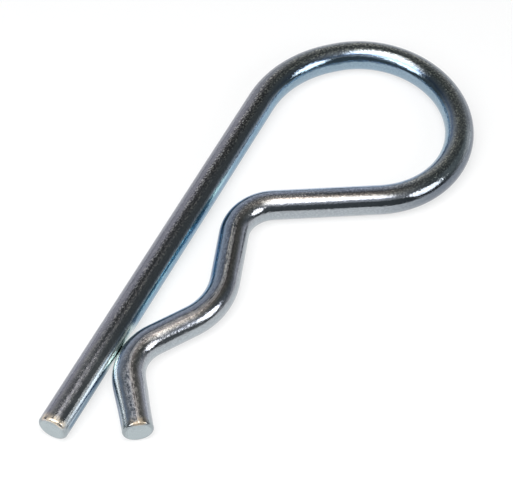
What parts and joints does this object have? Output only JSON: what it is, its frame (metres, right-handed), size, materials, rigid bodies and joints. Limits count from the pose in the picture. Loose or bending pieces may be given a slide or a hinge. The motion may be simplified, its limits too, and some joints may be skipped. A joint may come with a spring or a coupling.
{
  "type": "hitch r clip",
  "caption": "Spring wire R clip: a straight leg goes through a shaft's cross hole, and a wavy sprung leg hugs the shaft from outside. A round bow joins the two.",
  "frame": {"origin": "where the axis of the clipped shaft crosses the axis of the straight leg, in the middle of the wire's thickness", "axes": "+X along the straight leg towards the bow, +Y from the sprung leg towards the straight leg, +Z along the shaft's axis and up as the clip lies flat"},
  "size_m": [0.0971, 0.0395, 0.005],
  "materials": {
    "zinc_plated_wire": "bright zinc plating over drawn spring wire"
  },
  "bodies": {
    "root": {"r_clip": "zinc_plated_wire"}
  },
  "joints": []
}
